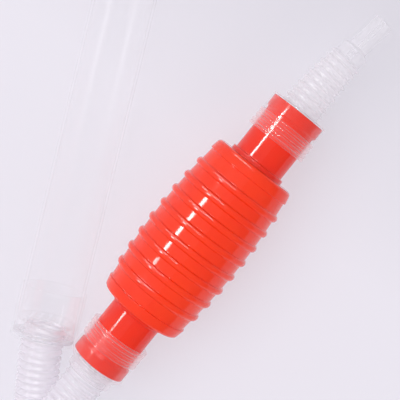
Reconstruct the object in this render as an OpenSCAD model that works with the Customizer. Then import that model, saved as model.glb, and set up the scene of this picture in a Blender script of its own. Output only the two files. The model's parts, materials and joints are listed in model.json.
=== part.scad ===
// Hand-squeezed gravel vacuum siphon, lying on a flat surface.
// +X runs along the pump towards its outlet nozzle, +Z is up, z = 0 is the surface.
// The origin is the point on the surface straight under the middle of the squeeze bulb.
// Millimetres.

/* [Squeeze bulb] */
// Length of the bulb between its two end faces
bulb_length = 81; // [67:0.1:100]
// Diameter of the barrel between the ribs, at mid length
belly_d = 44; // [36:0.1:56]
// How far the barrel draws in from its middle to its end bands
barrel_drop = 2.3; // [0:0.1:4]
// How far the two plain end bands stand out of the barrel
band_height = 0.8; // [0.3:0.1:2]
// Length of each end band
band_length = 5.3; // [3:0.1:7]
// How much narrower an end band is at its rounded corner than beside the barrel
band_taper = 0.8; // [0:0.1:1.5]
// Radius of the end bands' rounded outer corners
band_corner = 1.5; // [0.5:0.1:2.4]
// Number of grip ribs
rib_count = 8; // [4:2:8]
// Distance from an end band to the middle of the nearest rib
end_land = 7.55; // [5:0.05:9]
// Width of one rib
rib_width = 3.2; // [2:0.1:4]
// How far a rib stands out of the barrel
rib_height = 1.3; // [0.6:0.1:2]
// Wall of the moulded bulb
bulb_wall = 1.3; // [0.9:0.1:2]

/* [Necks] */
// Outside diameter of the neck at each end of the bulb
neck_d = 24.2; // [20:0.01:30]
// Wall of the neck
neck_wall = 1.2; // [0.9:0.1:1.8]
// Length of each neck, from the bulb's end face to its own end
neck_length = 29.65; // [24:0.05:36]
// How far the neck's flared end stands out of the neck
flare_height = 0.9; // [0.6:0.1:1.4]
// Length of the flared end
flare_length = 5.1; // [4:0.1:7]
// How far the step ring at the root of the neck stands out
step_height = 1.25; // [0.6:0.05:2]
// Length of the step ring
step_length = 2; // [1:0.1:3]

/* [Cuffs] */
// Wall of the two clear cuffs
cuff_wall = 0.75; // [0.6:0.05:1.2]
// Length of the cuff's beaded mouth
mouth_length = 9.1; // [7:0.1:10]
// Gap between the neck and the beaded mouth
mouth_gap = 0.95; // [0.7:0.05:1.4]
// Number of beads on the mouth
bead_count = 3; // [2:1:3]
// How far a bead stands out of the mouth
bead_height = 0.5; // [0.3:0.05:0.8]
// Width of a bead
bead_width = 1.7; // [1:0.1:2]
// How far the lip flares out of the mouth
lip_height = 0.6; // [0.3:0.05:1]
// Thickness of a cuff's end wall
end_wall = 0.8; // [0.6:0.1:1.5]
// Length of the intake cuff's cone
shoulder_length = 3.2; // [2:0.1:6]
// Length of the collar that the hose is pushed into
collar_length = 3.3; // [2.5:0.1:6]
// Wall of the collar
collar_wall = 1.1; // [0.8:0.1:2]

/* [Nozzle] */
// Diameter over the bellows' first fold
bellows_base_d = 19.5; // [17:0.1:22]
// Diameter over the bellows' last fold
bellows_top_d = 16; // [14:0.1:18]
// Number of folds in the bellows
fold_count = 9; // [6:1:10]
// Length of one fold
fold_pitch = 3.2; // [2.6:0.1:3.6]
// Depth of a fold
fold_depth = 1.2; // [0.8:0.1:1.6]
// Wall of the bellows and the spigot
nozzle_wall = 0.8; // [0.6:0.1:1.1]
// Angle that the bellows is bent to, towards -Y
bellows_bend = 7; // [0:1:14]
// Diameter of the smooth part below the spigot
ferrule_d = 13; // [12:0.1:14]
// Length of the smooth part
ferrule_length = 6; // [4:0.5:9]
// Diameter of the spigot, which a drain hose is pushed onto
spigot_d = 9.2; // [7:0.1:10]
// Length of the spigot
spigot_length = 17; // [12:0.5:24]

/* [Valves] */
// Diameter of the valve disc
disc_d = 13.6; // [12.5:0.1:14.6]
// Diameter of the opening that the disc closes
port_d = 11; // [9:0.1:11.6]
// Thickness of the valve disc at its rim
disc_thickness = 1.1; // [0.8:0.1:1.6]
// How far the valve lifts off its seat
valve_lift = 2.5; // [1.5:0.1:3]
// Diameter of the valve stem
stem_d = 3; // [2.4:0.1:3.6]
// Wall of the hub that guides the stem
hub_wall = 1.4; // [1:0.1:2]
// Length of the hub
hub_length = 4.6; // [3:0.1:6]
// Thickness of the seat's plate and of its flange
seat_thickness = 1; // [0.8:0.1:1.2]
// Length of the seat's skirt inside the neck
skirt_length = 5; // [3:0.5:8]
// Thickness of the clip on the stem
clip_thickness = 0.8; // [0.6:0.1:1]
// Thickness of the flat seal between a seat and its cuff
seal_thickness = 0.55; // [0.4:0.05:0.9]

/* [Hose] */
// Outside diameter of the corrugated hose
hose_d = 19.6; // [16:0.01:20]
// Thickness from the hose's bore to the outside of its folds
hose_wall = 1.1; // [0.8:0.1:2]

/* [Gravel tube] */
// Outside diameter of the clear gravel tube
tube_d = 27.8; // [23:0.01:34]
// Wall of the gravel tube
tube_wall = 1.1; // [0.8:0.1:1.3]
// Length of the gravel tube
tube_length = 202; // [120:0.1:260]
// Length of the thick rim at the tube's mouth
rim_length = 4; // [2:0.5:8]
// Wall of the cuff that the gravel tube is pushed into
tube_cuff_wall = 1.02; // [0.8:0.01:1.5]
// Length of that cuff
tube_cuff_length = 24; // [18:1:32]
// Thickness of that cuff's end plate
plate_thickness = 1.4; // [1:0.1:2]
// How deep the hose goes into that cuff
hose_socket_depth = 7; // [5:0.5:9]
// Thickness of the flat seal that the tube is pushed against
tube_seal_thickness = 1.5; // [1:0.1:2]
// Thickness of the gravel screen
screen_thickness = 2; // [1.5:0.1:3]
// Width of a slot in the screen
slot_width = 2.2; // [1.5:0.1:3]
// Width of a bar between two slots
bar_width = 1.6; // [1.2:0.1:2.4]
// Direction of the gravel tube, turned from +X towards +Y
tube_turn = 24.5; // [20:0.5:30]

/* [Hidden] */
$fn = 72;

// Clearances
running_gap = 0.08;   // radial gap of a part that turns or slides in another
face_gap = 0.05;      // gap between two flat faces that move on each other
free_gap = 0.35;      // gap between walls that must never rub
fit_gap = 0.05;       // radial gap of a part that is fitted once and then stays
overlap = 0.1;        // how far a cut runs past the face it opens

// Bulb and necks
belly_r = belly_d / 2;
waist_r = belly_r - barrel_drop;
band_r = waist_r + band_height;
bulb_end = bulb_length / 2;
band_start = bulb_end - band_length;
rib_pitch = 2 * (band_start - end_land) / (rib_count - 1);
neck_r = neck_d / 2;
neck_bore_r = neck_r - neck_wall;
flare_r = neck_r + flare_height;
neck_end = bulb_end + neck_length;
recess_wall = 1;      // wall around the recess in the neck's end, which holds the valve seat
recess_r = flare_r - recess_wall;
recess_start = neck_end - seal_thickness - seat_thickness;
arc_step = 15;        // degrees between the points of a rounded outline
axis_z = rib_top_radius(rib_pitch / 2);

// Cuffs, measured outwards from the middle of the bulb
cuff_end_inner = neck_end + face_gap;
cuff_end = cuff_end_inner + end_wall;
cuff_bore_r = flare_r + running_gap;
cuff_r = cuff_bore_r + cuff_wall;
snap_r = neck_r + free_gap;
snap_length = 0.8;
snap_end = neck_end - flare_length - flare_height - free_gap;
mouth_bore_r = neck_r + mouth_gap;
mouth_r = mouth_bore_r + cuff_wall;
mouth_end = snap_end - snap_length;
mouth_start = mouth_end - mouth_length;
lip_length = 1.2;
bead_spacing = (mouth_length - lip_length) / bead_count;
hose_r = hose_d / 2;
hose_bore_r = hose_r - hose_wall;
socket_r = hose_r + fit_gap;
collar_r = socket_r + collar_wall;
collar_start = cuff_end + shoulder_length;
collar_end = collar_start + collar_length;
hose_start = cuff_end + end_wall;
port_clearance = 1.6; // room for the water between an open disc and the wall around it
outlet_port_r = disc_d / 2 + port_clearance;

// Valves, along the flow
seat_face = neck_end - seal_thickness;
seal_width = 1.8;
seal_inner_r = recess_r - seal_width;
seal_outer_r = recess_r - running_gap;
flange_r = recess_r - fit_gap;
skirt_r = neck_bore_r - fit_gap;
skirt_wall = 1.2;
stem_r = stem_d / 2;
hub_bore_r = stem_r + running_gap;
hub_r = hub_bore_r + hub_wall;
arm_width = 1.4;
arm_count = 3;
dome_height = 0.9;
dome_step = 1.5;      // flat of the disc outside its dome
groove_depth = 0.35;
groove_r = stem_r - groove_depth;
clip_step = 0.2;      // how far the clip stays inside the hub's outline
clip_r = hub_r - clip_step;
clip_slit = 1.6;
stem_end_length = 0.8;
clip_start = -hub_length - face_gap - valve_lift;
stem_end = clip_start - clip_thickness - face_gap - stem_end_length;
// The inlet seat's plate lies behind its flange, and its disc opens into the bulb
inlet_seat_x = -seat_face + 2 * seat_thickness;
// The outlet seat's plate is flush with its flange, and its disc opens into the nozzle
outlet_seat_x = seat_face;

// Nozzle
bellows_length = fold_count * fold_pitch;
bellows_steps = 3 * fold_count;
bellows_sides = 24;
least_bend = 0.01;    // degrees, so that a straight bellows still has a bend radius
bend_radius = bellows_length / (max(bellows_bend, least_bend) * PI / 180);
nozzle_base = bellows_point(bellows_length + face_gap);
ferrule_r = ferrule_d / 2;
spigot_r = spigot_d / 2;
ferrule_ramp = 1.2;

// Gravel tube and its cuff, along the tube from the cuff's end plate
tube_r = tube_d / 2;
tube_bore_r = tube_r - tube_wall;
tube_cuff_bore_r = tube_r + running_gap;
tube_cuff_r = tube_cuff_bore_r + tube_cuff_wall;
tube_start = plate_thickness + tube_seal_thickness + face_gap;
screen_seat_depth = 7;
screen_step = 0.3;    // how deep the screen's seat is cut into the tube's wall
screen_seat_r = tube_bore_r + screen_step;
screen_r = screen_seat_r - fit_gap;
screen_end = tube_start + screen_seat_depth;
screen_rim = 1.6;
socket_wall = 1;
tube_seal_gap = 0.15; // radial gap between the flat seal and the hose socket
tube_seal_inner_r = socket_r + socket_wall + tube_seal_gap;
tube_setback = 2.5;   // how far the tube's cuff lies behind the pump's hose collar, and so clear of it
tube_tuck = 2.88;     // how far the tube's cuff reaches in under the pump's cuff
tube_place = [-collar_end - tube_setback, tube_cuff_r + cuff_r - tube_tuck, tube_cuff_r];

// The hose lies in one loose loop on the surface and passes once over itself.
// Points are measured from the mouth of the pump's hose collar, and from the surface.
hose_sides = 12;
hose_route = [
    [-17, 0, 26], [-34, 0, 31], [-51, 0.5, 31.5], [-67.5, 4, 29.5], [-83, 11.5, 26.5],
    [-95.5, 22, 22.5], [-106, 35.5, 18], [-117.5, 48.5, 14], [-131, 58.5, 11], [-146.5, 65.5, 10],
    [-163, 68, 10], [-180, 66.5, 10], [-196, 61, 10], [-210.5, 52, 10], [-222.5, 40, 10],
    [-231.5, 25.5, 10], [-236.5, 9.5, 10], [-237.5, -7.5, 10], [-235, -24, 10], [-228.5, -39.5, 10],
    [-218.5, -53, 10], [-205.5, -64, 10], [-190.5, -71.5, 10], [-174, -75.5, 10], [-157, -75.5, 10],
    [-140.5, -71.5, 10], [-125.5, -63.5, 10], [-112.5, -52.5, 10], [-101, -40, 10],
    [-88.5, -29, 10], [-74.5, -19, 10], [-60, -9.5, 10], [-46, -0.5, 10],
];
// Its last points rise to the tube's cuff, and are measured from the cuff
hose_ending = [[-29.5, -17.45, -4.5], [-15.5, -8.45, -2.5]];
hose_path = concat([[-hose_start, 0, axis_z], [-collar_end, 0, axis_z]],
                   [for (p = hose_route) p - [collar_end, 0, 0]],
                   [for (p = hose_ending) tube_place + p],
                   [tube_point(-1), tube_point(hose_socket_depth)]);

// ---------------------------------------------------------------- outlines and curves

// Radius of the barrel between the ribs, at distance x from the middle
function barrel_radius(x) = belly_r - (belly_r - waist_r) * pow(x / band_start, 2);

// Radius over a rib whose middle is at distance x
function rib_top_radius(x) = barrel_radius(x) + rib_height;

// Half-ellipse outline of a rib, in the direction of rising x
function rib_outline(x) = [
    for (a = [180:-2 * arc_step:0])
        let (px = x + rib_width / 2 * cos(a))
        [barrel_radius(px) + rib_height * sin(a), px]
];

// Quarter-round outer corner of an end band: side is 1 at the +X end, -1 at the other
function band_corner_outline(side) =
    let (
        low = bulb_end - band_corner,
        middle_r = band_r - band_taper - band_corner
    )
    [
        for (i = [0:arc_step:90])
            let (a = side > 0 ? i : 90 - i)
            [middle_r + band_corner * cos(a), side * (low + band_corner * sin(a))]
    ];

// A point along the bent bellows, s from its base, in the pump's own axes
function bellows_point(s) =
    let (a = s / bend_radius * 180 / PI)
    [cuff_end + bend_radius * sin(a), -bend_radius * (1 - cos(a)), axis_z];

// A point on the gravel tube's axis, s from the cuff's end plate
function tube_point(s) = tube_place + s * [cos(tube_turn), sin(tube_turn), 0];

function unit(v) = v / norm(v);

// Direction of a path at each of its points
function headings(path) =
    let (last = len(path) - 1)
    [for (i = [0:last]) unit(path[min(i + 1, last)] - path[max(i - 1, 0)])];

// One ring of points around a point, square to the direction forward
function ring_points(point, forward, radius, sides) =
    let (
        side = unit(cross([0, 0, 1], forward)),
        up = cross(forward, side)
    )
    [for (k = [0:sides - 1]) point + radius * (cos(k * 360 / sides) * side + sin(k * 360 / sides) * up)];

// Two triangles between points k and k + 1 of two rings that start at a and b
function band_faces(a, b, k, sides) =
    let (n = (k + 1) % sides)
    [[a + k, a + n, b + n], [a + k, b + n, b + k]];

// A hose wall swept along a path, with its own direction, outside and bore radius at every point
module swept_wall(path, directions, outer, bore, sides) {
    count = len(path);
    points = concat(
        [for (i = [0:count - 1]) each ring_points(path[i], directions[i], outer[i], sides)],
        [for (i = [0:count - 1]) each ring_points(path[i], directions[i], bore[i], sides)]
    );
    inner = count * sides;
    last = (count - 1) * sides;
    faces = concat(
        [for (i = [0:count - 2]) for (k = [0:sides - 1])
            each band_faces((i + 1) * sides, i * sides, k, sides)],
        [for (i = [0:count - 2]) for (k = [0:sides - 1])
            each band_faces(inner + i * sides, inner + (i + 1) * sides, k, sides)],
        [for (k = [0:sides - 1]) each band_faces(0, inner, k, sides)],
        [for (k = [0:sides - 1]) each band_faces(inner + last, last, k, sides)]
    );
    polyhedron(points, faces);
}

// ---------------------------------------------------------------- placing

// Turns a shape drawn along +Z to lie along the pump, its base at distance x
module along_pump(x) {
    translate([x, 0, axis_z]) rotate([0, 90, 0]) children();
}

// The same, facing the intake end
module along_intake() {
    translate([0, 0, axis_z]) rotate([0, -90, 0]) children();
}

// Turns a shape drawn along +Z to lie along the gravel tube
module along_tube() {
    translate(tube_place) rotate([0, 90, tube_turn]) children();
}

module ring(inner_r, outer_r, length) {
    rotate_extrude() translate([inner_r, 0]) square([outer_r - inner_r, length]);
}

// ---------------------------------------------------------------- the bulb

// Outline of one neck from the bulb outwards and into its recess, drawn for the +X end
neck_outline = [
    [neck_r + step_height, bulb_end],
    [neck_r + step_height, bulb_end + step_length],
    [neck_r, bulb_end + step_length],
    [neck_r, neck_end - flare_length - flare_height],
    [flare_r, neck_end - flare_length],
    [flare_r, neck_end],
    [recess_r, neck_end],
    [recess_r, recess_start],
    [neck_bore_r, recess_start],
];

function mirrored(outline) = [for (i = [len(outline) - 1:-1:0]) [outline[i][0], -outline[i][1]]];

module squeeze_bulb() {
    bore_end = bulb_end - bulb_wall;
    bore_steps = 12;
    color("#f2301c")
    along_pump(0)
    rotate_extrude()
    polygon(concat(
        mirrored(neck_outline),
        band_corner_outline(-1),
        [[band_r, -band_start], [waist_r, -band_start]],
        [for (i = [0:rib_count - 1]) each rib_outline((i - (rib_count - 1) / 2) * rib_pitch)],
        [[waist_r, band_start], [band_r, band_start]],
        band_corner_outline(1),
        neck_outline,
        [[neck_bore_r, bore_end]],
        [for (i = [bore_steps:-1:-bore_steps])
            let (x = i / bore_steps * bore_end)
            [barrel_radius(x) - bulb_wall, x]],
        [[neck_bore_r, -bore_end]]
    ));
}

// ---------------------------------------------------------------- the cuffs

// Beaded mouth, snap ring and smooth sleeve that both cuffs share, measured from the bulb's middle
module cuff_sleeve() {
    difference() {
        union() {
            translate([0, 0, mouth_start]) cylinder(r = mouth_r, h = mouth_length);
            translate([0, 0, mouth_start]) cylinder(r = mouth_r + lip_height, h = lip_length);
            for (i = [1:bead_count])
                translate([0, 0, mouth_start + lip_length + (i - 0.5) * bead_spacing - bead_width / 2])
                    cylinder(r = mouth_r + bead_height, h = bead_width);
            translate([0, 0, mouth_end - overlap]) cylinder(r = cuff_r, h = cuff_end - mouth_end + overlap);
        }
        translate([0, 0, mouth_start - overlap]) cylinder(r = mouth_bore_r, h = mouth_length + overlap);
        translate([0, 0, mouth_end - overlap]) cylinder(r = snap_r, h = snap_length + 2 * overlap);
        translate([0, 0, snap_end]) cylinder(r = cuff_bore_r, h = cuff_end_inner - snap_end);
    }
}

module intake_cuff() {
    color("#eef2f8", 0.45)
    along_intake()
    difference() {
        union() {
            cuff_sleeve();
            translate([0, 0, cuff_end]) cylinder(r1 = cuff_r, r2 = collar_r, h = shoulder_length);
            translate([0, 0, collar_start]) cylinder(r = collar_r, h = collar_length);
        }
        translate([0, 0, cuff_end_inner - overlap])
            cylinder(r = hose_bore_r, h = hose_start - cuff_end_inner + 2 * overlap);
        translate([0, 0, hose_start - face_gap]) cylinder(r = socket_r, h = collar_end);
    }
}

module outlet_cuff() {
    color("#eef2f8", 0.45)
    along_pump(0)
    difference() {
        cuff_sleeve();
        translate([0, 0, cuff_end_inner - overlap]) cylinder(r = outlet_port_r, h = end_wall + 2 * overlap);
    }
}

// Flat seal between a valve seat and the end wall of its cuff
module seal_ring() {
    translate([0, 0, seat_face + face_gap]) ring(seal_inner_r, seal_outer_r, seal_thickness);
}

module inlet_seal_ring() {
    color("#f6f6f2") along_intake() seal_ring();
}

module outlet_seal_ring() {
    color("#f6f6f2") along_pump(0) seal_ring();
}

// ---------------------------------------------------------------- the valves

// Plate with a port, and a hub on three arms; the disc seats at z = 0 and opens towards +Z
module seat_core() {
    difference() {
        union() {
            translate([0, 0, -seat_thickness]) ring(port_d / 2, skirt_r, seat_thickness);
            translate([0, 0, -hub_length]) cylinder(r = hub_r, h = hub_length);
            for (i = [0:arm_count - 1])
                rotate(i * 360 / arm_count)
                    translate([0, -arm_width / 2, -2 * seat_thickness])
                        cube([port_d / 2 + skirt_wall, arm_width, 2 * seat_thickness]);
        }
        translate([0, 0, -hub_length - overlap]) cylinder(r = hub_bore_r, h = hub_length + 2 * overlap);
    }
}

// Flange in the neck's recess and skirt inside the neck, with the flange outwards and its face at z = 0
module seat_mounting() {
    translate([0, 0, -seat_thickness]) ring(skirt_r - overlap, flange_r, seat_thickness);
    translate([0, 0, -skirt_length - seat_thickness])
        ring(skirt_r - skirt_wall, skirt_r, skirt_length + seat_thickness);
}

// Disc, dome, stem and groove of a valve, closed at z = 0 on its seat
module poppet() {
    difference() {
        union() {
            translate([0, 0, face_gap]) cylinder(r = disc_d / 2, h = disc_thickness);
            translate([0, 0, face_gap + disc_thickness])
                cylinder(r1 = disc_d / 2 - dome_step, r2 = stem_r, h = dome_height);
            translate([0, 0, stem_end]) cylinder(r = stem_r, h = face_gap + overlap - stem_end);
        }
        translate([0, 0, clip_start - clip_thickness - face_gap])
            ring(groove_r, stem_r + overlap, clip_thickness + face_gap);
    }
}

// Open ring sprung into the stem's groove, which stops the valve at full lift
module stem_clip() {
    difference() {
        translate([0, 0, clip_start - clip_thickness - face_gap / 2])
            ring(groove_r + face_gap, clip_r, clip_thickness);
        translate([0, -clip_slit / 2, clip_start - 2 * clip_thickness])
            cube([clip_r + overlap, clip_slit, 3 * clip_thickness]);
    }
}

module inlet_valve_seat() {
    color("#f4f5f4") {
        along_pump(inlet_seat_x) seat_core();
        along_intake() translate([0, 0, seat_face]) seat_mounting();
    }
}

module outlet_valve_seat() {
    color("#f4f5f4") {
        along_pump(outlet_seat_x) seat_core();
        along_pump(seat_face) seat_mounting();
    }
}

module inlet_valve_poppet() {
    color("#fbfbf7") along_pump(inlet_seat_x) poppet();
}

module outlet_valve_poppet() {
    color("#fbfbf7") along_pump(outlet_seat_x) poppet();
}

module inlet_stem_clip() {
    color("#e9ecef") along_pump(inlet_seat_x) stem_clip();
}

module outlet_stem_clip() {
    color("#e9ecef") along_pump(outlet_seat_x) stem_clip();
}

// ---------------------------------------------------------------- the nozzle

// Outside radius of the bellows at step i: a fold falls from its crest, runs and rises in three steps
function fold_radius(i) =
    let (crest = (bellows_base_d + (bellows_top_d - bellows_base_d) * i / bellows_steps) / 2)
    i % 3 == 0 ? crest : crest - fold_depth;

module outlet_bellows() {
    steps = [0:bellows_steps];
    path = [for (i = steps) bellows_point(i / bellows_steps * bellows_length)];
    turns = [for (i = steps) i / bellows_steps * bellows_bend];
    directions = [for (a = turns) [cos(a), -sin(a), 0]];
    outer = [for (i = steps) fold_radius(i)];
    color("#eef2f8", 0.45)
    swept_wall(path, directions, outer, [for (r = outer) r - nozzle_wall], bellows_sides);
}

module outlet_spigot() {
    base_r = fold_radius(bellows_steps);
    color("#eef2f8", 0.45)
    translate(nozzle_base) rotate([0, 90, -bellows_bend])
    rotate_extrude()
    polygon([
        [base_r - nozzle_wall, 0],
        [base_r, 0],
        [ferrule_r, ferrule_ramp],
        [ferrule_r, ferrule_length],
        [spigot_r, ferrule_length + ferrule_ramp],
        [spigot_r, ferrule_length + spigot_length],
        [spigot_r - nozzle_wall, ferrule_length + spigot_length],
        [spigot_r - nozzle_wall, ferrule_length],
        [ferrule_r - nozzle_wall, ferrule_length - ferrule_ramp],
        [ferrule_r - nozzle_wall, ferrule_ramp],
    ]);
}

// ---------------------------------------------------------------- hose and gravel tube

module intake_hose() {
    color("#eef2f8", 0.45)
    swept_wall(hose_path, headings(hose_path), [for (p = hose_path) hose_r],
               [for (p = hose_path) hose_bore_r], hose_sides);
}

module tube_cuff() {
    color("#eef2f8", 0.45)
    along_tube() {
        ring(socket_r, tube_cuff_r, plate_thickness);
        ring(socket_r, socket_r + socket_wall, hose_socket_depth);
        ring(tube_cuff_bore_r, tube_cuff_r, tube_cuff_length);
    }
}

module tube_seal_ring() {
    color("#f6f6f2")
    along_tube()
    translate([0, 0, plate_thickness]) ring(tube_seal_inner_r, tube_r, tube_seal_thickness);
}

module gravel_tube() {
    tube_end = tube_start + tube_length;
    color("#f2f6fa", 0.3)
    along_tube()
    rotate_extrude()
    polygon([
        [screen_seat_r, tube_start],
        [tube_r, tube_start],
        [tube_r, tube_end - rim_length],
        [tube_cuff_r, tube_end - rim_length],
        [tube_cuff_r, tube_end],
        [tube_bore_r, tube_end],
        [tube_bore_r, screen_end],
        [screen_seat_r, screen_end],
    ]);
}

module gravel_screen() {
    slot_step = slot_width + bar_width;
    slot_reach = screen_r - screen_rim;
    slots_each_side = floor((slot_reach - slot_width / 2) / slot_step);
    color("#eef2f8", 0.45)
    along_tube()
    translate([0, 0, screen_end - screen_thickness])
    difference() {
        cylinder(r = screen_r, h = screen_thickness);
        for (i = [-slots_each_side:slots_each_side]) {
            near = abs(i) * slot_step + slot_width / 2;
            half_length = sqrt(pow(slot_reach, 2) - pow(near, 2));
            translate([-half_length, i * slot_step - slot_width / 2, -overlap])
                cube([2 * half_length, slot_width, screen_thickness + 2 * overlap]);
        }
    }
}

squeeze_bulb();
intake_cuff();
inlet_seal_ring();
inlet_valve_seat();
inlet_valve_poppet();
inlet_stem_clip();
outlet_cuff();
outlet_seal_ring();
outlet_valve_seat();
outlet_valve_poppet();
outlet_stem_clip();
outlet_bellows();
outlet_spigot();
intake_hose();
tube_cuff();
tube_seal_ring();
gravel_tube();
gravel_screen();
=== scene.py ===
"""Finished surfaces of a hand-squeezed gravel vacuum siphon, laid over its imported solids.

Metres, in the frame of the solids: +X along the pump to its nozzle, +Z up, the surface at z = 0.
Sizes named below are in millimetres, and MM turns them to metres.
"""
import json
import math

import bmesh
import bpy
import numpy as np
from mathutils import Matrix, Vector


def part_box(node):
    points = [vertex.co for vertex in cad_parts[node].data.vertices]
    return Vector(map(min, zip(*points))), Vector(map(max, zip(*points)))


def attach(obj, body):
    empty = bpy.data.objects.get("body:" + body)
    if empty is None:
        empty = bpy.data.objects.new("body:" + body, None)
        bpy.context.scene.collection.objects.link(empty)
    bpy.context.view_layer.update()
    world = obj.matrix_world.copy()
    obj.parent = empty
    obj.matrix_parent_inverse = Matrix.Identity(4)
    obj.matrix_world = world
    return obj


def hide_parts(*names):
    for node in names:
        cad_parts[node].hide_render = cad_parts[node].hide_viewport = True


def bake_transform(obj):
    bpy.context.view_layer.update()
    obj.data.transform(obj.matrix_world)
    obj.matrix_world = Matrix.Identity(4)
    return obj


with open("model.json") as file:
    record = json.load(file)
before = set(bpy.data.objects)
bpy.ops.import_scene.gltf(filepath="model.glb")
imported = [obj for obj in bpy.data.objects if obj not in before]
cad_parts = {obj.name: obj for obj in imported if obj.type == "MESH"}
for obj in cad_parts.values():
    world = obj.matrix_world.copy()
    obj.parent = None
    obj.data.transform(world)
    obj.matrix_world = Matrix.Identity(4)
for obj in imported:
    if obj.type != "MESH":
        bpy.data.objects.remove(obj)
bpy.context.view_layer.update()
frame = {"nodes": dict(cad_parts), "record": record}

MM = 0.001
SIDES = 96       # facets around a turned piece
HAIR = 1e-6      # metres, for telling points that lie on a plane
SHARP_ANGLE = math.radians(40)
CREST_SHARPNESS = 1.6  # 1 makes a fold a plain sine wave, and more makes its crest narrower

# ---------------------------------------------------------------- sizes, as the solids have them
# A START or an END is a distance along the piece's axis, and an R is a radius.

# Gaps between pieces
RUNNING_GAP = 0.08     # round a piece that turns or slides in another
FACE_GAP = 0.05        # between two flat faces that move on each other
FREE_GAP = 0.35        # between walls that never rub
FIT_GAP = 0.05         # round a piece that is fitted once and then stays

# Squeeze bulb, from the middle of its length
BULB_END = 40.5
BULB_WALL = 1.3
BELLY_R = 22.0
BARREL_DROP = 2.3      # how far the barrel draws in from its middle to its end bands
WAIST_R = BELLY_R - BARREL_DROP
BAND_LENGTH = 5.3
BAND_HEIGHT = 0.8
BAND_TAPER = 0.8       # from the band's barrel side to its rounded corner
BAND_CORNER = 1.5
BAND_START = BULB_END - BAND_LENGTH
BAND_R = WAIST_R + BAND_HEIGHT
BAND_END_R = BAND_R - BAND_TAPER * BAND_LENGTH / (BAND_LENGTH - BAND_CORNER)
RIB_COUNT = 8
RIB_WIDTH = 3.2
RIB_HEIGHT = 1.3
END_LAND = 7.55        # from an end band to the middle of the nearest rib
RIB_PITCH = 2 * (BAND_START - END_LAND) / (RIB_COUNT - 1)
ROUND_STEPS = 10       # edges along a half-round rib or bead
SEAM_WIDTH = 0.5
SEAM_HEIGHT = 0.06
SEAM_TURN = math.radians(3)

# Necks
NECK_R = 12.1
NECK_WALL = 1.2
NECK_LENGTH = 29.65
STEP_HEIGHT = 1.25
STEP_LENGTH = 2.0
FLARE_HEIGHT = 0.9
FLARE_LENGTH = 5.1
RECESS_WALL = 1.0
RECESS_DEPTH = 1.55
NECK_BORE_R = NECK_R - NECK_WALL
NECK_END = BULB_END + NECK_LENGTH
STEP_R = NECK_R + STEP_HEIGHT
STEP_END = BULB_END + STEP_LENGTH
FLARE_R = NECK_R + FLARE_HEIGHT
FLARE_START = NECK_END - FLARE_LENGTH
RECESS_R = FLARE_R - RECESS_WALL
RECESS_START = NECK_END - RECESS_DEPTH
NECK_SHADE_END_R = 1.4 * STEP_R  # where the necks' deeper red, partly thicker wall and partly painted shade, has turned into the barrel's

# Hose
HOSE_R = 9.8
HOSE_WALL = 0.5        # of its folded sheet
HOSE_DEPTH = 1.1       # from its bore to the outside of its folds
HOSE_PITCH = 3.2
HOSE_FOLD = 0.95
HOSE_BORE_R = HOSE_R - HOSE_DEPTH
HOSE_SOCKET_R = HOSE_R + FIT_GAP

# Pump cuffs
CUFF_WALL = 0.75
END_WALL = 0.8
MOUTH_LENGTH = 9.1
MOUTH_GAP = 0.95
LIP_HEIGHT = 0.6
LIP_LENGTH = 1.2
BEAD_COUNT = 3
BEAD_WIDTH = 1.7
BEAD_HEIGHT = 0.5
SNAP_LENGTH = 0.8
SLEEVE_STEP = 0.5      # length over which the mouth's outside passes into the sleeve's
SHOULDER_LENGTH = 3.2
COLLAR_LENGTH = 3.3
COLLAR_WALL = 1.1
COLLAR_LIP = 1.4       # length of the collar's rounded end
OUTLET_PORT_R = 8.4
SNAP_R = NECK_R + FREE_GAP
SNAP_END = FLARE_START - FLARE_HEIGHT - FREE_GAP
MOUTH_END = SNAP_END - SNAP_LENGTH
MOUTH_START = MOUTH_END - MOUTH_LENGTH
MOUTH_BORE_R = NECK_R + MOUTH_GAP
MOUTH_R = MOUTH_BORE_R + CUFF_WALL
LIP_R = MOUTH_R + LIP_HEIGHT
CUFF_BORE_R = FLARE_R + RUNNING_GAP
CUFF_R = CUFF_BORE_R + CUFF_WALL
CUFF_END_INNER = NECK_END + FACE_GAP
CUFF_END = CUFF_END_INNER + END_WALL
COLLAR_R = HOSE_SOCKET_R + COLLAR_WALL
COLLAR_START = CUFF_END + SHOULDER_LENGTH
COLLAR_END = COLLAR_START + COLLAR_LENGTH
HOSE_START = CUFF_END + END_WALL

# Nozzle: the bellows from the outlet cuff's end, and the spigot from the bellows' end
FOLD_COUNT = 9
FOLD_PITCH = 3.2
FOLD_BASE_R = 9.75
FOLD_TOP_R = 8.0
FOLD_DEPTH = 1.2
NOZZLE_WALL = 0.8
BELLOWS_LENGTH = FOLD_COUNT * FOLD_PITCH
BELLOWS_BEND = math.radians(7)
BEND_RADIUS = BELLOWS_LENGTH / BELLOWS_BEND
FERRULE_R = 6.5
FERRULE_LENGTH = 6.0
FERRULE_RAMP = 1.2
SPIGOT_R = 4.6
SPIGOT_LENGTH = 17.0
SPIGOT_END = FERRULE_LENGTH + SPIGOT_LENGTH

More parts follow.
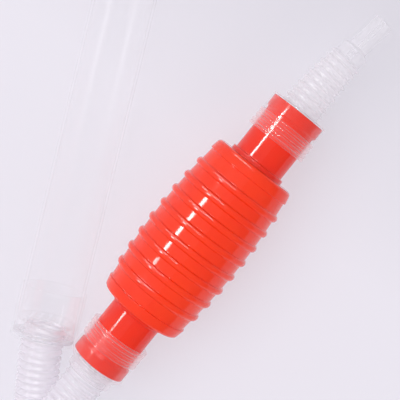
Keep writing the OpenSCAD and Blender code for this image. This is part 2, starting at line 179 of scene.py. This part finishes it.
# Gravel tube and its cuff, from the cuff's end plate
PLATE = 1.4
TUBE_SEAL = 1.5
TUBE_R = 13.9
TUBE_WALL = 1.1
TUBE_LENGTH = 202.0
RIM_LENGTH = 4.0
TUBE_CUFF_WALL = 1.02
TUBE_CUFF_END = 24.0
SOCKET_DEPTH = 7.0
SOCKET_WALL = 1.0
SCREEN_STEP = 0.3      # how deep the screen's seat is cut into the tube's wall
SCREEN_SEAT_DEPTH = 7.0
TUBE_SETBACK = 2.5     # how far the tube's cuff lies behind the mouth of the pump's collar
TUBE_TUCK = 2.88       # how far it reaches in under the pump's cuff
TUBE_BORE_R = TUBE_R - TUBE_WALL
TUBE_START = PLATE + TUBE_SEAL + FACE_GAP
TUBE_END = TUBE_START + TUBE_LENGTH
TUBE_RIM_START = TUBE_END - RIM_LENGTH
TUBE_CUFF_BORE_R = TUBE_R + RUNNING_GAP
TUBE_CUFF_R = TUBE_CUFF_BORE_R + TUBE_CUFF_WALL
SOCKET_R = HOSE_SOCKET_R + SOCKET_WALL
SCREEN_SEAT_R = TUBE_BORE_R + SCREEN_STEP
SCREEN_SEAT_END = TUBE_START + SCREEN_SEAT_DEPTH

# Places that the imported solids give
bulb_low, bulb_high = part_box("squeeze_bulb")
PUMP_Z = (bulb_low[2] + bulb_high[2]) / 2
tube_mount = next(m for m in frame["record"]["mounts"] if m["name"] == "gravel_tube_mouth")
TUBE_DIRECTION = Vector(tube_mount["axis"])
TUBE_PLACE = Vector((-COLLAR_END - TUBE_SETBACK, TUBE_CUFF_R + CUFF_R - TUBE_TUCK, TUBE_CUFF_R)) * MM

# ---------------------------------------------------------------- camera

FOCUS = Vector((0.0139, 0.0097, PUMP_Z))  # the point in the middle of the view
CAMERA_DISTANCE = 0.5
CAMERA_LENS = 103.5  # focal length in millimetres
CAMERA_LEAN = math.radians(4.5)  # towards the nozzle
UP_ON_SURFACE = Vector((0.7826, 0.6225, 0.0))  # the direction that points up in the view


def turn_towards(place, target, up):
    """Matrix of an object at place whose -Z looks at target and whose +Y is nearest to up."""
    back = (place - target).normalized()
    right = up.cross(back).normalized()
    matrix = Matrix((right, back.cross(right), back)).transposed().to_4x4()
    matrix.translation = place
    return matrix


def make_camera():
    lens = bpy.data.cameras.new("camera")
    lens.lens = CAMERA_LENS
    lens.clip_start = 0.01
    camera = bpy.data.objects.new("camera", lens)
    lean = Vector((math.sin(CAMERA_LEAN), 0, math.cos(CAMERA_LEAN)))
    camera.matrix_world = turn_towards(FOCUS + CAMERA_DISTANCE * lean, FOCUS, UP_ON_SURFACE)
    bpy.context.scene.collection.objects.link(camera)
    bpy.context.scene.camera = camera


make_camera()

# ---------------------------------------------------------------- materials


def linear(code, alpha=1.0):
    """An sRGB colour such as "#f2301c" as linear values."""
    parts = [int(code[i:i + 2], 16) / 255 for i in (1, 3, 5)]
    return [p / 12.92 if p <= 0.04045 else ((p + 0.055) / 1.055) ** 2.4 for p in parts] + [alpha]


def add(tree, kind, settings=(), links=()):
    """Adds a node. settings go to its inputs or its own fields, links join (output, own input)."""
    node = tree.nodes.new("ShaderNode" + kind)
    for key, value in dict(settings).items():
        if isinstance(key, int) or key in node.inputs:
            node.inputs[key].default_value = value
        else:
            setattr(node, key, value)
    for output, own in links:
        tree.links.new(output, node.inputs[own])
    return node


def new_material(name):
    """A material with no nodes yet, and its node tree."""
    material = bpy.data.materials.new(name)
    material.use_nodes = True
    material.node_tree.nodes.clear()
    return material, material.node_tree


def finish_material(material, tree, shader):
    """Joins the last shader to the material's surface."""
    add(tree, "OutputMaterial", links=[(shader.outputs[0], "Surface")])
    return material


def moulded_bump(tree, size_mm, depth_mm):
    """The soft unevenness of a moulded wall: lumps size_mm across and depth_mm deep."""
    place = add(tree, "TexCoord")
    lumps = add(tree, "TexNoise", {"Scale": 1 / (size_mm * MM), "Detail": 2.0},
                [(place.outputs["Object"], "Vector")])
    bump = add(tree, "Bump", {"Strength": 1.0, "Distance": depth_mm * MM},
               [(lumps.outputs[0], "Height")])
    return place, lumps, bump


def red_polyethylene():
    """Blow-moulded LDPE in translucent red: a waxy gloss, and a deeper red at the necks for their thick
    wall and for painted shade.
    """
    material, tree = new_material("red_polyethylene")
    place, lumps, bump = moulded_bump(tree, size_mm=9, depth_mm=0.06)
    clouds = add(tree, "TexNoise", {"Scale": 1 / (14 * MM), "Detail": 1.0},
                 [(place.outputs["Object"], "Vector")])
    barrel = add(tree, "ValToRGB", links=[(clouds.outputs[0], "Fac")])
    barrel.color_ramp.elements[0].color = linear("#f22d05")
    barrel.color_ramp.elements[1].color = linear("#fb3b09")
    # The necks' deeper red is partly their thicker wall and partly painted shade beside the barrel and
    # the cuffs.
    neck = add(tree, "ValToRGB", links=[(clouds.outputs[0], "Fac")])
    neck.color_ramp.elements[0].color = linear("#e82204")
    neck.color_ramp.elements[1].color = linear("#f02d07")
    from_axis = add(tree, "VectorMath",
                    {"operation": "MULTIPLY_ADD", 1: (0, 1, 1), 2: (0, 0, -PUMP_Z)},
                    [(place.outputs["Object"], 0)])
    radius = add(tree, "VectorMath", {"operation": "LENGTH"}, [(from_axis.outputs[0], 0)])
    on_barrel = add(tree, "MapRange", {"From Min": STEP_R * MM, "From Max": NECK_SHADE_END_R * MM},
                    [(radius.outputs["Value"], "Value")])
    shade = add(tree, "MixRGB", links=[(on_barrel.outputs[0], "Fac"), (neck.outputs[0], 1),
                                       (barrel.outputs[0], 2)])
    gloss = add(tree, "MapRange", {"To Min": 0.08, "To Max": 0.13},
                [(lumps.outputs[0], "Value")])
    shader = add(tree, "BsdfPrincipled",
                 {"IOR": 1.51, "Subsurface Weight": 0.15, "Subsurface Scale": 0.002,
                  "Subsurface Radius": (1.0, 0.2, 0.05)},
                 [(shade.outputs[0], "Base Color"), (gloss.outputs[0], "Roughness"),
                  (bump.outputs[0], "Normal")])
    return finish_material(material, tree, shader)


GLOSS_SPREAD = 0.04  # how far a moulded wall's roughness strays to each side


def clear_plastic(name, milk, face_on, edge_on, roughness, size_mm, depth_mm,
                  through_lit=0.35, shine=1.0):
    """A clear moulded plastic whose wall scatters some light.

    face_on and edge_on are the shares that each face of the wall hides, seen square and along it.
    through_lit is the share of its haze that is lit from behind, and shine is the part of a
    clear wall's reflection that the surface keeps."""
    material, tree = new_material(name)
    place, lumps, bump = moulded_bump(tree, size_mm, depth_mm)
    gloss = add(tree, "MapRange",
                {"To Min": roughness - GLOSS_SPREAD, "To Max": roughness + GLOSS_SPREAD},
                [(lumps.outputs[0], "Value")])
    lit = add(tree, "BsdfDiffuse", {"Color": linear(milk)}, [(bump.outputs[0], "Normal")])
    backlit = add(tree, "BsdfTranslucent", {"Color": linear(milk)}, [(bump.outputs[0], "Normal")])
    haze = add(tree, "MixShader", {"Fac": through_lit}, [(lit.outputs[0], 1), (backlit.outputs[0], 2)])
    through = add(tree, "BsdfTransparent", {"Color": (1, 1, 1, 1)})
    slant = add(tree, "LayerWeight", {"Blend": 0.5})
    share = add(tree, "MapRange", {"To Min": face_on, "To Max": edge_on},
                [(slant.outputs["Facing"], "Value")])
    wall = add(tree, "MixShader",
               links=[(share.outputs[0], "Fac"), (through.outputs[0], 1), (haze.outputs[0], 2)])
    mirror = add(tree, "BsdfGlossy", {"Color": (1, 1, 1, 1)},
                 [(gloss.outputs[0], "Roughness"), (bump.outputs[0], "Normal")])
    fresnel = add(tree, "Fresnel", {"IOR": 1.5}, [(bump.outputs[0], "Normal")])
    mirrored_share = add(tree, "MapRange", {"To Max": shine}, [(fresnel.outputs[0], "Value")])
    front = add(tree, "MixShader",
                links=[(mirrored_share.outputs[0], "Fac"), (wall.outputs[0], 1),
                       (mirror.outputs[0], 2)])
    side = add(tree, "NewGeometry")
    inside = add(tree, "BsdfTransparent", {"Color": (1, 1, 1, 1)})
    shader = add(tree, "MixShader",
                 links=[(side.outputs["Backfacing"], "Fac"), (front.outputs[0], 1),
                        (inside.outputs[0], 2)])
    return finish_material(material, tree, shader)


def opaque_plastic(name, dark, light, roughness, size_mm, depth_mm):
    """An opaque moulded plastic with faint clouds between two near colours."""
    material, tree = new_material(name)
    place, lumps, bump = moulded_bump(tree, size_mm, depth_mm)
    shade = add(tree, "ValToRGB", links=[(lumps.outputs[0], "Fac")])
    shade.color_ramp.elements[0].color = linear(dark)
    shade.color_ramp.elements[1].color = linear(light)
    shader = add(tree, "BsdfPrincipled", {"Roughness": roughness, "IOR": 1.49},
                 [(shade.outputs[0], "Base Color"), (bump.outputs[0], "Normal")])
    return finish_material(material, tree, shader)


# Injection-moulded LDPE cuffs: their sleeves touch the neck, so almost nothing hides its red
sleeve_clear = clear_plastic("clear_polyethylene", "#fbf8fc", face_on=0.0, edge_on=0.14,
                             roughness=0.10, size_mm=7, depth_mm=0.02)
# Their mouths stand off the neck and look milkier
mouth_clear = clear_plastic("milky_polyethylene", "#fff4f7", face_on=0.05, edge_on=0.60,
                            roughness=0.10, size_mm=5, depth_mm=0.01, through_lit=0.6)
# The bellows, blow-moulded thicker than the cuffs: milky, with a soft gloss
bellows_clear = clear_plastic("bellows_polyethylene", "#f6f2f5", face_on=0.32, edge_on=0.74,
                              roughness=0.22, size_mm=6, depth_mm=0.01)
# The spigot is the thinnest part of that moulding, and clearer
spigot_clear = clear_plastic("spigot_polyethylene", "#f2eff3", face_on=0.27, edge_on=0.60,
                             roughness=0.24, size_mm=6, depth_mm=0.01, shine=0.7)
# Corrugated hose, blown thin and left milky: the least clear
hose_clear = clear_plastic("corrugated_polyethylene", "#f4f0f5", face_on=0.44, edge_on=0.88,
                           roughness=0.26, size_mm=9, depth_mm=0.01)
# Extruded polystyrene tube: the clearest, seen by its edges and a faint gloss
tube_clear = clear_plastic("clear_styrene", "#f2f0f5", face_on=0.0, edge_on=0.06,
                           roughness=0.30, size_mm=20, depth_mm=0.01, shine=0.2)
# The tube's mouth is twice as thick as its wall, and shows more
rim_clear = clear_plastic("thick_styrene", "#f4f2f7", face_on=0.10, edge_on=0.45,
                          roughness=0.12, size_mm=12, depth_mm=0.01)
# Moulded silicone seals: cloudy and matt
seal_clear = clear_plastic("silicone_rubber", "#e4e3e8", face_on=0.25, edge_on=0.60,
                           roughness=0.45, size_mm=2, depth_mm=0.01, shine=0.6)
red = red_polyethylene()
# Injection-moulded polypropylene valve seats and valves
valve_white = opaque_plastic("white_polypropylene", "#eceeee", "#fafbfa", roughness=0.35,
                             size_mm=5, depth_mm=0.02)
# Acetal clips: harder and glossier
clip_grey = opaque_plastic("acetal", "#d9dde1", "#e9ecef", roughness=0.28, size_mm=3, depth_mm=0.01)

# ---------------------------------------------------------------- making pieces


def turned(outline, sides=SIDES):
    """Spins a closed outline around the X axis. Its points are (x, radius, rounding) in mm."""
    shape = bmesh.new()
    corners = [shape.verts.new((point[0] * MM, 0, point[1] * MM)) for point in outline]
    for a, b in zip(corners, corners[1:] + corners[:1]):
        shape.edges.new((a, b))
    roundings = [point[2] if len(point) > 2 else 0 for point in outline]
    for size in sorted(set(roundings) - {0}):
        chosen = [v for v, r in zip(corners, roundings) if r == size]
        bmesh.ops.bevel(shape, geom=chosen, offset=size * MM, segments=3, profile=0.5,
                        affect="VERTICES", material=-1, clamp_overlap=True)
    bmesh.ops.spin(shape, geom=shape.verts[:] + shape.edges[:], cent=(0, 0, 0), axis=(1, 0, 0),
                   angle=2 * math.pi, steps=sides, use_merge=True)
    bmesh.ops.recalc_face_normals(shape, faces=shape.faces[:])
    return shape


def move(shape, matrix):
    """Applies a matrix to a whole shape."""
    bmesh.ops.transform(shape, matrix=matrix, verts=shape.verts[:])
    return shape


def along_pump(shape):
    """From the pump's own axis to its place, the outlet end first."""
    return move(shape, Matrix.Translation((0, 0, PUMP_Z)))


def along_intake(shape):
    """The same, with the shape facing the intake end."""
    return along_pump(move(shape, Matrix.Rotation(math.pi, 4, "Z")))


def along_tube(shape):
    """From the gravel tube's own axis to its place, its cuff's end plate first."""
    turn = math.atan2(TUBE_DIRECTION.y, TUBE_DIRECTION.x)
    return move(shape, Matrix.Translation(TUBE_PLACE) @ Matrix.Rotation(turn, 4, "Z"))


def make_piece(name, shape, materials, replaced, body=None):
    """A finished piece that stands for replaced nodes. One that blends across a joint has no body."""
    mesh = bpy.data.meshes.new(name)
    shape.to_mesh(mesh)
    shape.free()
    for material in materials:
        mesh.materials.append(material)
    mesh.shade_smooth()
    mesh.set_sharp_from_angle(angle=SHARP_ANGLE)
    piece = bpy.data.objects.new(name, mesh)
    bpy.context.scene.collection.objects.link(piece)
    normals = piece.modifiers.new("level_faces", "WEIGHTED_NORMAL")
    normals.weight = 100
    normals.keep_sharp = True
    if body is not None:
        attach(piece, body)
    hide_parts(*replaced)
    return piece


def wave(turn):
    """Height of a moulded fold, 1 at its crest and 0 in its valley, over a turn of 1."""
    return (0.5 + 0.5 * math.cos(2 * math.pi * turn)) ** CREST_SHARPNESS


# ---------------------------------------------------------------- hose: one free cord

# The hose lies in one loose loop on the surface and passes once over itself.
# Points are measured from the mouth of the pump's hose collar, and from the surface.
HOSE_ROUTE = [
    (-17, 0, 26), (-34, 0, 31), (-51, 0.5, 31.5), (-67.5, 4, 29.5), (-83, 11.5, 26.5),
    (-95.5, 22, 22.5), (-106, 35.5, 18), (-117.5, 48.5, 14), (-131, 58.5, 11), (-146.5, 65.5, 10),
    (-163, 68, 10), (-180, 66.5, 10), (-196, 61, 10), (-210.5, 52, 10), (-222.5, 40, 10),
    (-231.5, 25.5, 10), (-236.5, 9.5, 10), (-237.5, -7.5, 10), (-235, -24, 10), (-228.5, -39.5, 10),
    (-218.5, -53, 10), (-205.5, -64, 10), (-190.5, -71.5, 10), (-174, -75.5, 10), (-157, -75.5, 10),
    (-140.5, -71.5, 10), (-125.5, -63.5, 10), (-112.5, -52.5, 10), (-101, -40, 10),
    (-88.5, -29, 10), (-74.5, -19, 10), (-60, -9.5, 10), (-46, -0.5, 10),
]
# Its last points rise to the gravel tube's cuff, and are measured from that cuff
HOSE_ENDING = [(-29.5, -17.45, -4.5), (-15.5, -8.45, -2.5)]


def pump_point(s):
    """The point in mm of the pump's axis at distance s from the middle of the bulb."""
    return Vector((s, 0, PUMP_Z / MM))


def tube_point(s):
    """The point in mm of the gravel tube's axis at distance s from its cuff's end plate."""
    return TUBE_PLACE / MM + s * TUBE_DIRECTION


def hose_points():
    """The whole route, from inside the pump's collar to inside the gravel tube's cuff."""
    points = [pump_point(-HOSE_START), pump_point(-COLLAR_END)]
    points += [Vector(point) - Vector((COLLAR_END, 0, 0)) for point in HOSE_ROUTE]
    points += [Vector(point) + TUBE_PLACE / MM for point in HOSE_ENDING]
    return points + [tube_point(-1), tube_point(SOCKET_DEPTH)]


def smooth_line(points, per_point=12):
    """A uniform cubic B-spline from the first to the last of the points, as a line in metres."""
    p = np.array(points, dtype=float) * MM
    p = np.vstack([2 * p[0] - p[1], p, 2 * p[-1] - p[-2]])
    u = (np.arange(per_point) / per_point)[:, None]
    line = [
        ((1 - u) ** 3 * a + (3 * u**3 - 6 * u**2 + 4) * b
         + (-3 * u**3 + 3 * u**2 + 3 * u + 1) * c + u**3 * d) / 6
        for a, b, c, d in zip(p, p[1:], p[2:], p[3:])
    ]
    return np.vstack(line + [p[-2][None, :]])


class Route:
    """A line that a straight shape is laid along, by distance from its start."""

    def __init__(self, line):
        self.line = line
        steps = np.linalg.norm(np.diff(line, axis=0), axis=1)
        self.along = np.concatenate([[0], np.cumsum(steps)])
        self.length = float(self.along[-1])
        self.slope = np.gradient(line, self.along, axis=0)

    def place(self, co):
        """Where a point of the straight shape comes to lie."""
        def at(table):
            return Vector([float(np.interp(co.x, self.along, table[:, k])) for k in range(3)])

        forward = at(self.slope).normalized()
        side = Vector((0, 0, 1)).cross(forward).normalized()
        return at(self.line) + co.y * side + co.z * forward.cross(side)


def corrugated(length, pitch, crest, valley_depth, wall, sides, per_fold, inner_per_fold):
    """A straight corrugated wall from x = 0 to length, in mm. crest(x) is the radius of its folds.

    per_fold and inner_per_fold are the rings along one fold, outside and in the bore."""
    def outer(x):
        return crest(x) - valley_depth * (1 - wave(x / pitch))

    def steps(count):
        whole = max(2, round(length / pitch * count))
        return [length * i / whole for i in range(whole + 1)]

    outline = [(x, outer(x)) for x in steps(per_fold)]
    outline += [(x, outer(x) - wall) for x in reversed(steps(inner_per_fold))]
    return turned(outline, sides)


def lay_along(shape, route):
    """Bends a straight shape that starts at x = 0 along a route."""
    for vert in shape.verts:
        vert.co = route.place(vert.co)
    return shape


hose_route = Route(smooth_line(hose_points()))
hose_shape = corrugated(hose_route.length / MM, HOSE_PITCH, lambda x: HOSE_R, HOSE_FOLD, HOSE_WALL,
                        sides=30, per_fold=8, inner_per_fold=6)
hose = make_piece("intake_hose_folds", lay_along(hose_shape, hose_route), [hose_clear],
                  ["intake_hose"], body="hose_side")

# ---------------------------------------------------------------- squeeze bulb


def barrel_radius(x):
    """Radius of the barrel between its ribs, widest in the middle."""
    return BELLY_R - (BELLY_R - WAIST_R) * (x / BAND_START) ** 2


def mirrored(outline):
    """The same outline at the other end, run the other way."""
    return [(-point[0], *point[1:]) for point in reversed(outline)]


neck_outline = [
    (BULB_END, STEP_R, 0.35),
    (STEP_END, STEP_R, 0.6),
    (STEP_END, NECK_R, 0.5),
    (FLARE_START - FLARE_HEIGHT, NECK_R, 0.5),
    (FLARE_START, FLARE_R, 0.5),
    (NECK_END, FLARE_R, 0.25),
    (NECK_END, RECESS_R, 0.15),
    (RECESS_START, RECESS_R),
    (RECESS_START, NECK_BORE_R, 0.15),
    (BULB_END - BULB_WALL, NECK_BORE_R, 0.6),
]
band_outline = [
    (BAND_START, WAIST_R, 0.35),
    (BAND_START, BAND_R, 0.7),
    (BULB_END, BAND_END_R, BAND_CORNER),
]


def half_round_angles():
    """Angles of the points along a half-round rib or bead, in the direction of rising x."""
    return [math.pi * (1 - i / ROUND_STEPS) for i in range(ROUND_STEPS + 1)]


def rib_outline(middle):
    """One half-round rib, with a small fillet where it leaves the barrel."""
    points = []
    for angle in half_round_angles():
        x = middle + RIB_WIDTH / 2 * math.cos(angle)
        rounding = 0.3 if angle in (0, math.pi) else 0
        points.append((x, barrel_radius(x) + RIB_HEIGHT * math.sin(angle), rounding))
    return points


def make_bulb():
    ribs = []
    for i in range(RIB_COUNT):
        ribs += rib_outline((i - (RIB_COUNT - 1) / 2) * RIB_PITCH)
    inner_end = BULB_END - BULB_WALL
    inside = [(x, barrel_radius(x) - BULB_WALL) for x in np.linspace(inner_end, -inner_end, 25)]
    one_end = band_outline + neck_outline
    shape = turned(mirrored(one_end) + ribs + one_end + inside, sides=120)
    raise_seam(shape)
    return along_pump(shape)


def raise_seam(shape):
    """Raises the thin line that the two halves of the mould leave along the outside."""
    across = Vector((0, math.cos(SEAM_TURN), math.sin(SEAM_TURN)))
    for offset in (-SEAM_WIDTH / 2, 0, SEAM_WIDTH / 2):
        bmesh.ops.bisect_plane(shape, geom=shape.verts[:] + shape.edges[:] + shape.faces[:],
                               dist=HAIR, plane_co=across * offset * MM, plane_no=across)
    shape.normal_update()
    for vert in shape.verts:
        outwards = Vector((0, vert.co.y, vert.co.z)).normalized()
        if abs(vert.co.dot(across)) < HAIR and vert.normal.dot(outwards) > 0.2:
            vert.co += outwards * SEAM_HEIGHT * MM
            vert.co.z = max(vert.co.z, -PUMP_Z)  # no lower than the surface


make_piece("bulb_shell", make_bulb(), [red], ["squeeze_bulb"], body="pump")

# ---------------------------------------------------------------- cuffs


def sleeve_outside():
    """Lip, beads and smooth sleeve of a cuff, from its mouth to the corner of its end."""
    spacing = (MOUTH_END - MOUTH_START - LIP_LENGTH) / BEAD_COUNT
    outline = [(MOUTH_START, LIP_R, 0.3), (MOUTH_START + LIP_LENGTH, LIP_R, 0.35)]
    for i in range(BEAD_COUNT):
        middle = MOUTH_START + LIP_LENGTH + (i + 0.5) * spacing
        for angle in half_round_angles():
            outline.append((middle + BEAD_WIDTH / 2 * math.cos(angle),
                            MOUTH_R + BEAD_HEIGHT * math.sin(angle)))
    return outline + [(MOUTH_END + SLEEVE_STEP, CUFF_R)]


def sleeve_inside():
    """Bore of a cuff, from its end wall back to its mouth."""
    return [
        (CUFF_END_INNER, CUFF_BORE_R),
        (SNAP_END, CUFF_BORE_R),
        (SNAP_END, SNAP_R, 0.15),
        (MOUTH_END, SNAP_R, 0.15),
        (MOUTH_END, MOUTH_BORE_R),
        (MOUTH_START, MOUTH_BORE_R, 0.2),
    ]


def cuff_shape(end):
    """A whole cuff with its end outline. The mouth and the end wall take the second material."""
    shape = turned(sleeve_outside() + end + sleeve_inside())
    for face in shape.faces:
        x = face.calc_center_median().x / MM
        face.material_index = int(x < MOUTH_END or x > CUFF_END_INNER)
    return shape


outlet_end = [(CUFF_END, CUFF_R, 0.6), (CUFF_END, OUTLET_PORT_R), (CUFF_END_INNER, OUTLET_PORT_R)]
make_piece("outlet_cuff_shell", along_pump(cuff_shape(outlet_end)), [sleeve_clear, mouth_clear],
           ["outlet_cuff"], body="outlet_end")

intake_end = [
    (CUFF_END, CUFF_R, 0.9),
    (COLLAR_START, COLLAR_R, 0.5),
    (COLLAR_END - COLLAR_LIP, COLLAR_R, 0.2),
    (COLLAR_END, COLLAR_R, 0.5),
    (COLLAR_END, HOSE_SOCKET_R, 0.2),
    (HOSE_START, HOSE_SOCKET_R),
    (HOSE_START, HOSE_BORE_R),
    (CUFF_END_INNER, HOSE_BORE_R, 0.2),
]
make_piece("intake_cuff_shell", along_intake(cuff_shape(intake_end)), [sleeve_clear, mouth_clear],
           ["intake_cuff"], body="hose_side")

# ---------------------------------------------------------------- nozzle


def bellows_point(s):
    """A point of the bent bellows' axis, s mm from its base."""
    turn = s / BEND_RADIUS
    return Vector((CUFF_END + BEND_RADIUS * math.sin(turn), -BEND_RADIUS * (1 - math.cos(turn)),
                   PUMP_Z / MM)) * MM


bellows_route = Route(np.array([bellows_point(BELLOWS_LENGTH * i / 60) for i in range(61)]))
bellows_shape = corrugated(
    BELLOWS_LENGTH, FOLD_PITCH,
    lambda x: FOLD_BASE_R + (FOLD_TOP_R - FOLD_BASE_R) * x / BELLOWS_LENGTH,
    FOLD_DEPTH, NOZZLE_WALL, sides=72, per_fold=12, inner_per_fold=8)
bellows = make_piece("bellows_folds", lay_along(bellows_shape, bellows_route), [bellows_clear],
                     ["outlet_bellows"])
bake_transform(bellows)

spigot_outline = [
    (0, FOLD_TOP_R, 0.2),
    (FERRULE_RAMP, FERRULE_R, 0.4),
    (FERRULE_LENGTH, FERRULE_R, 0.4),
    (FERRULE_LENGTH + FERRULE_RAMP, SPIGOT_R, 0.4),
    (SPIGOT_END, SPIGOT_R, 0.25),
    (SPIGOT_END, SPIGOT_R - NOZZLE_WALL, 0.2),
    (FERRULE_LENGTH, SPIGOT_R - NOZZLE_WALL),
    (FERRULE_LENGTH - FERRULE_RAMP, FERRULE_R - NOZZLE_WALL),
    (FERRULE_RAMP, FERRULE_R - NOZZLE_WALL),
    (0, FOLD_TOP_R - NOZZLE_WALL),
]
spigot_place = (Matrix.Translation(bellows_point(BELLOWS_LENGTH))
                @ Matrix.Rotation(-BELLOWS_BEND, 4, "Z"))
make_piece("spigot_shell", move(turned(spigot_outline, sides=72), spigot_place), [spigot_clear],
           ["outlet_spigot"], body="nozzle")

# ---------------------------------------------------------------- gravel tube

tube_cuff_outline = [
    (0, TUBE_CUFF_R, 0.5),
    (TUBE_CUFF_END, TUBE_CUFF_R, 0.3),
    (TUBE_CUFF_END, TUBE_CUFF_BORE_R, 0.15),
    (PLATE, TUBE_CUFF_BORE_R),
    (PLATE, SOCKET_R, 0.2),
    (SOCKET_DEPTH, SOCKET_R, 0.2),
    (SOCKET_DEPTH, HOSE_SOCKET_R),
    (0, HOSE_SOCKET_R, 0.2),
]
make_piece("tube_cuff_shell", along_tube(turned(tube_cuff_outline)), [sleeve_clear],
           ["tube_cuff"], body="hose_side")

gravel_tube_outline = [
    (TUBE_START, TUBE_R, 0.2),
    (TUBE_RIM_START, TUBE_R, 0.3),
    (TUBE_RIM_START, TUBE_CUFF_R, 0.4),
    (TUBE_END, TUBE_CUFF_R, 0.5),
    (TUBE_END, TUBE_BORE_R, 0.4),
    (SCREEN_SEAT_END, TUBE_BORE_R),
    (SCREEN_SEAT_END, SCREEN_SEAT_R),
    (TUBE_START, SCREEN_SEAT_R),
]
gravel_tube_shape = turned(gravel_tube_outline)
for face in gravel_tube_shape.faces:
    face.material_index = int(face.calc_center_median().x > TUBE_RIM_START * MM - HAIR)
make_piece("gravel_tube_shell", along_tube(gravel_tube_shape), [tube_clear, rim_clear],
           ["gravel_tube"], body="gravel_tube")

# ---------------------------------------------------------------- pieces kept from the solids

KEPT_FINISH = {
    "inlet_valve_seat": valve_white,
    "outlet_valve_seat": valve_white,
    "gravel_screen": sleeve_clear,
    "inlet_valve_poppet": valve_white,
    "outlet_valve_poppet": valve_white,
    "inlet_stem_clip": clip_grey,
    "outlet_stem_clip": clip_grey,
    "inlet_seal_ring": seal_clear,
    "outlet_seal_ring": seal_clear,
    "tube_seal_ring": seal_clear,
}
for name, material in KEPT_FINISH.items():
    for place in frame["nodes"][name].material_slots:
        place.material = material

# ---------------------------------------------------------------- floor and light

FLOOR_HALF_WIDTH = 3.0
FLOOR_GAP = 0.0002       # keeps the floor's face apart from the faces that rest on it
FLOOR_PAINTED_GLOW_FULL = 0.03   # up to this X the floor's painted glow is at its strongest
FLOOR_PAINTED_GLOW_LEAST = 0.19  # and from this X on it is weakest, past the nozzle: painted shade falling off across the floor


def make_floor():
    """A matt sheet of opal acrylic with a painted glow in place of a lamp below it, dimming past the
    nozzle as painted shade, far larger than the object.
    """
    material, tree = new_material("opal_acrylic")
    place = add(tree, "TexCoord")
    clouds = add(tree, "TexNoise", {"Scale": 3.0, "Detail": 2.0}, [(place.outputs["Object"], "Vector")])
    shade = add(tree, "ValToRGB", links=[(clouds.outputs[0], "Fac")])
    shade.color_ramp.elements[0].color = linear("#87858c")
    shade.color_ramp.elements[1].color = linear("#8b8990")
    along = add(tree, "SeparateXYZ", links=[(place.outputs["Object"], 0)])
    # The floor's glow is painted light, and it fades towards +X as painted shade.
    lamp_and_painted_glow = add(tree, "MapRange",
               {"From Min": FLOOR_PAINTED_GLOW_FULL, "From Max": FLOOR_PAINTED_GLOW_LEAST,
                "To Min": 0.63, "To Max": 0.45},
               [(along.outputs["X"], "Value")])
    shader = add(tree, "BsdfPrincipled", {"Roughness": 0.85, "Emission Color": linear("#efebf3")},
                 [(shade.outputs[0], "Base Color"), (lamp_and_painted_glow.outputs[0], "Emission Strength")])
    finish_material(material, tree, shader)
    shape = bmesh.new()
    bmesh.ops.create_grid(shape, x_segments=1, y_segments=1, size=FLOOR_HALF_WIDTH)
    mesh = bpy.data.meshes.new("floor")
    shape.to_mesh(mesh)
    shape.free()
    mesh.materials.append(material)
    floor = bpy.data.objects.new("floor", mesh)
    floor.location.z = -FLOOR_GAP
    bpy.context.scene.collection.objects.link(floor)


def soft_light(name, direction, distance, width, height, power, seen_in_gloss):
    """A light that looks at the pump from a direction, in metres and watts.

    It is a strip that only gloss shows, or a softbox that lights the walls and leaves no gloss."""
    lamp_and_painted_glow = bpy.data.lights.new(name, "AREA")
    lamp_and_painted_glow.shape = "RECTANGLE"
    lamp_and_painted_glow.size = width
    lamp_and_painted_glow.size_y = height
    lamp_and_painted_glow.energy = power
    light = bpy.data.objects.new(name, lamp_and_painted_glow)
    light.visible_glossy = seen_in_gloss
    light.visible_diffuse = not seen_in_gloss
    place = FOCUS + Vector(direction).normalized() * distance
    light.matrix_world = turn_towards(place, FOCUS, Vector((1, 0, 0)))
    bpy.context.scene.collection.objects.link(light)


def make_world():
    """A plain white studio, brighter on the side of the key lights."""
    world = bpy.data.worlds.new("studio")
    world.use_nodes = True
    tree = world.node_tree
    tree.nodes.clear()
    direction = add(tree, "TexCoord")
    side = add(tree, "SeparateXYZ", links=[(direction.outputs["Generated"], 0)])
    glow = add(tree, "MapRange", {"From Min": -1.0, "To Min": 0.35, "To Max": 0.9},
               [(side.outputs["Y"], "Value")])
    sky = add(tree, "Background", {"Color": linear("#f6f5fb")}, [(glow.outputs[0], "Strength")])
    add(tree, "OutputWorld", links=[(sky.outputs[0], "Surface")])
    bpy.context.scene.world = world


make_floor()
make_world()
soft_light("key_strip", (-0.1, 0.69, 0.72), 1.0, 0.13, 0.34, 4.0, seen_in_gloss=True)
soft_light("rib_strip", (0.62, 0.5, 0.6), 1.0, 1.2, 0.1, 9.0, seen_in_gloss=True)
soft_light("key_softbox", (-0.1, 0.35, 0.93), 0.9, 0.8, 0.8, 4.3, seen_in_gloss=False)
soft_light("fill_softbox", (0.0, -0.85, 0.52), 0.9, 0.5, 0.8, 2.0, seen_in_gloss=False)
bpy.context.scene.view_settings.view_transform = "Standard"
bpy.context.scene.cycles.transparent_max_bounces = 48
